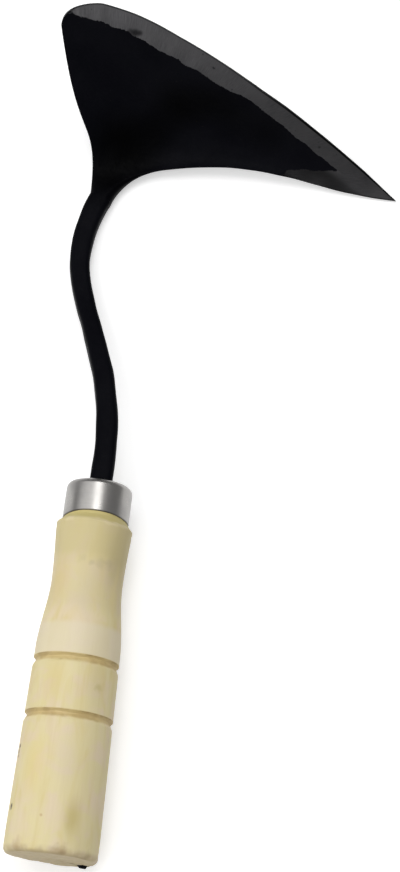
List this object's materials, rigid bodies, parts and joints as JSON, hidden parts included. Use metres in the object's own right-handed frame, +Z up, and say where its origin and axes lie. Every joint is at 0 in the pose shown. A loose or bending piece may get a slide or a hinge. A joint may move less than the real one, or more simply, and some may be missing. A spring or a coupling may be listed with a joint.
{
  "type": "hand hoe",
  "caption": "Forged hand hoe with a dished, pointed blade on a curved neck, a steel ferrule and a turned wooden grip.",
  "frame": {"origin": "centre of the flat butt face at the rear end of the handle", "axes": "+Y along the handle's axis from the butt towards the blade, +X towards the blade's pointed tip, +Z up from the surface that the hoe lies on, with the blade's hollow ground face looking up"},
  "size_m": [0.137, 0.3183, 0.0552],
  "materials": {
    "wood": "turned and lightly sanded pale wood, no varnish",
    "ferrule_steel": "turned bright steel tube",
    "forged_iron": "black forge scale and black lacquer, bare ground steel along the cutting edges"
  },
  "bodies": {
    "root": {"handle": "wood", "ferrule": "ferrule_steel", "forged_head": "forged_iron"}
  },
  "joints": []
}
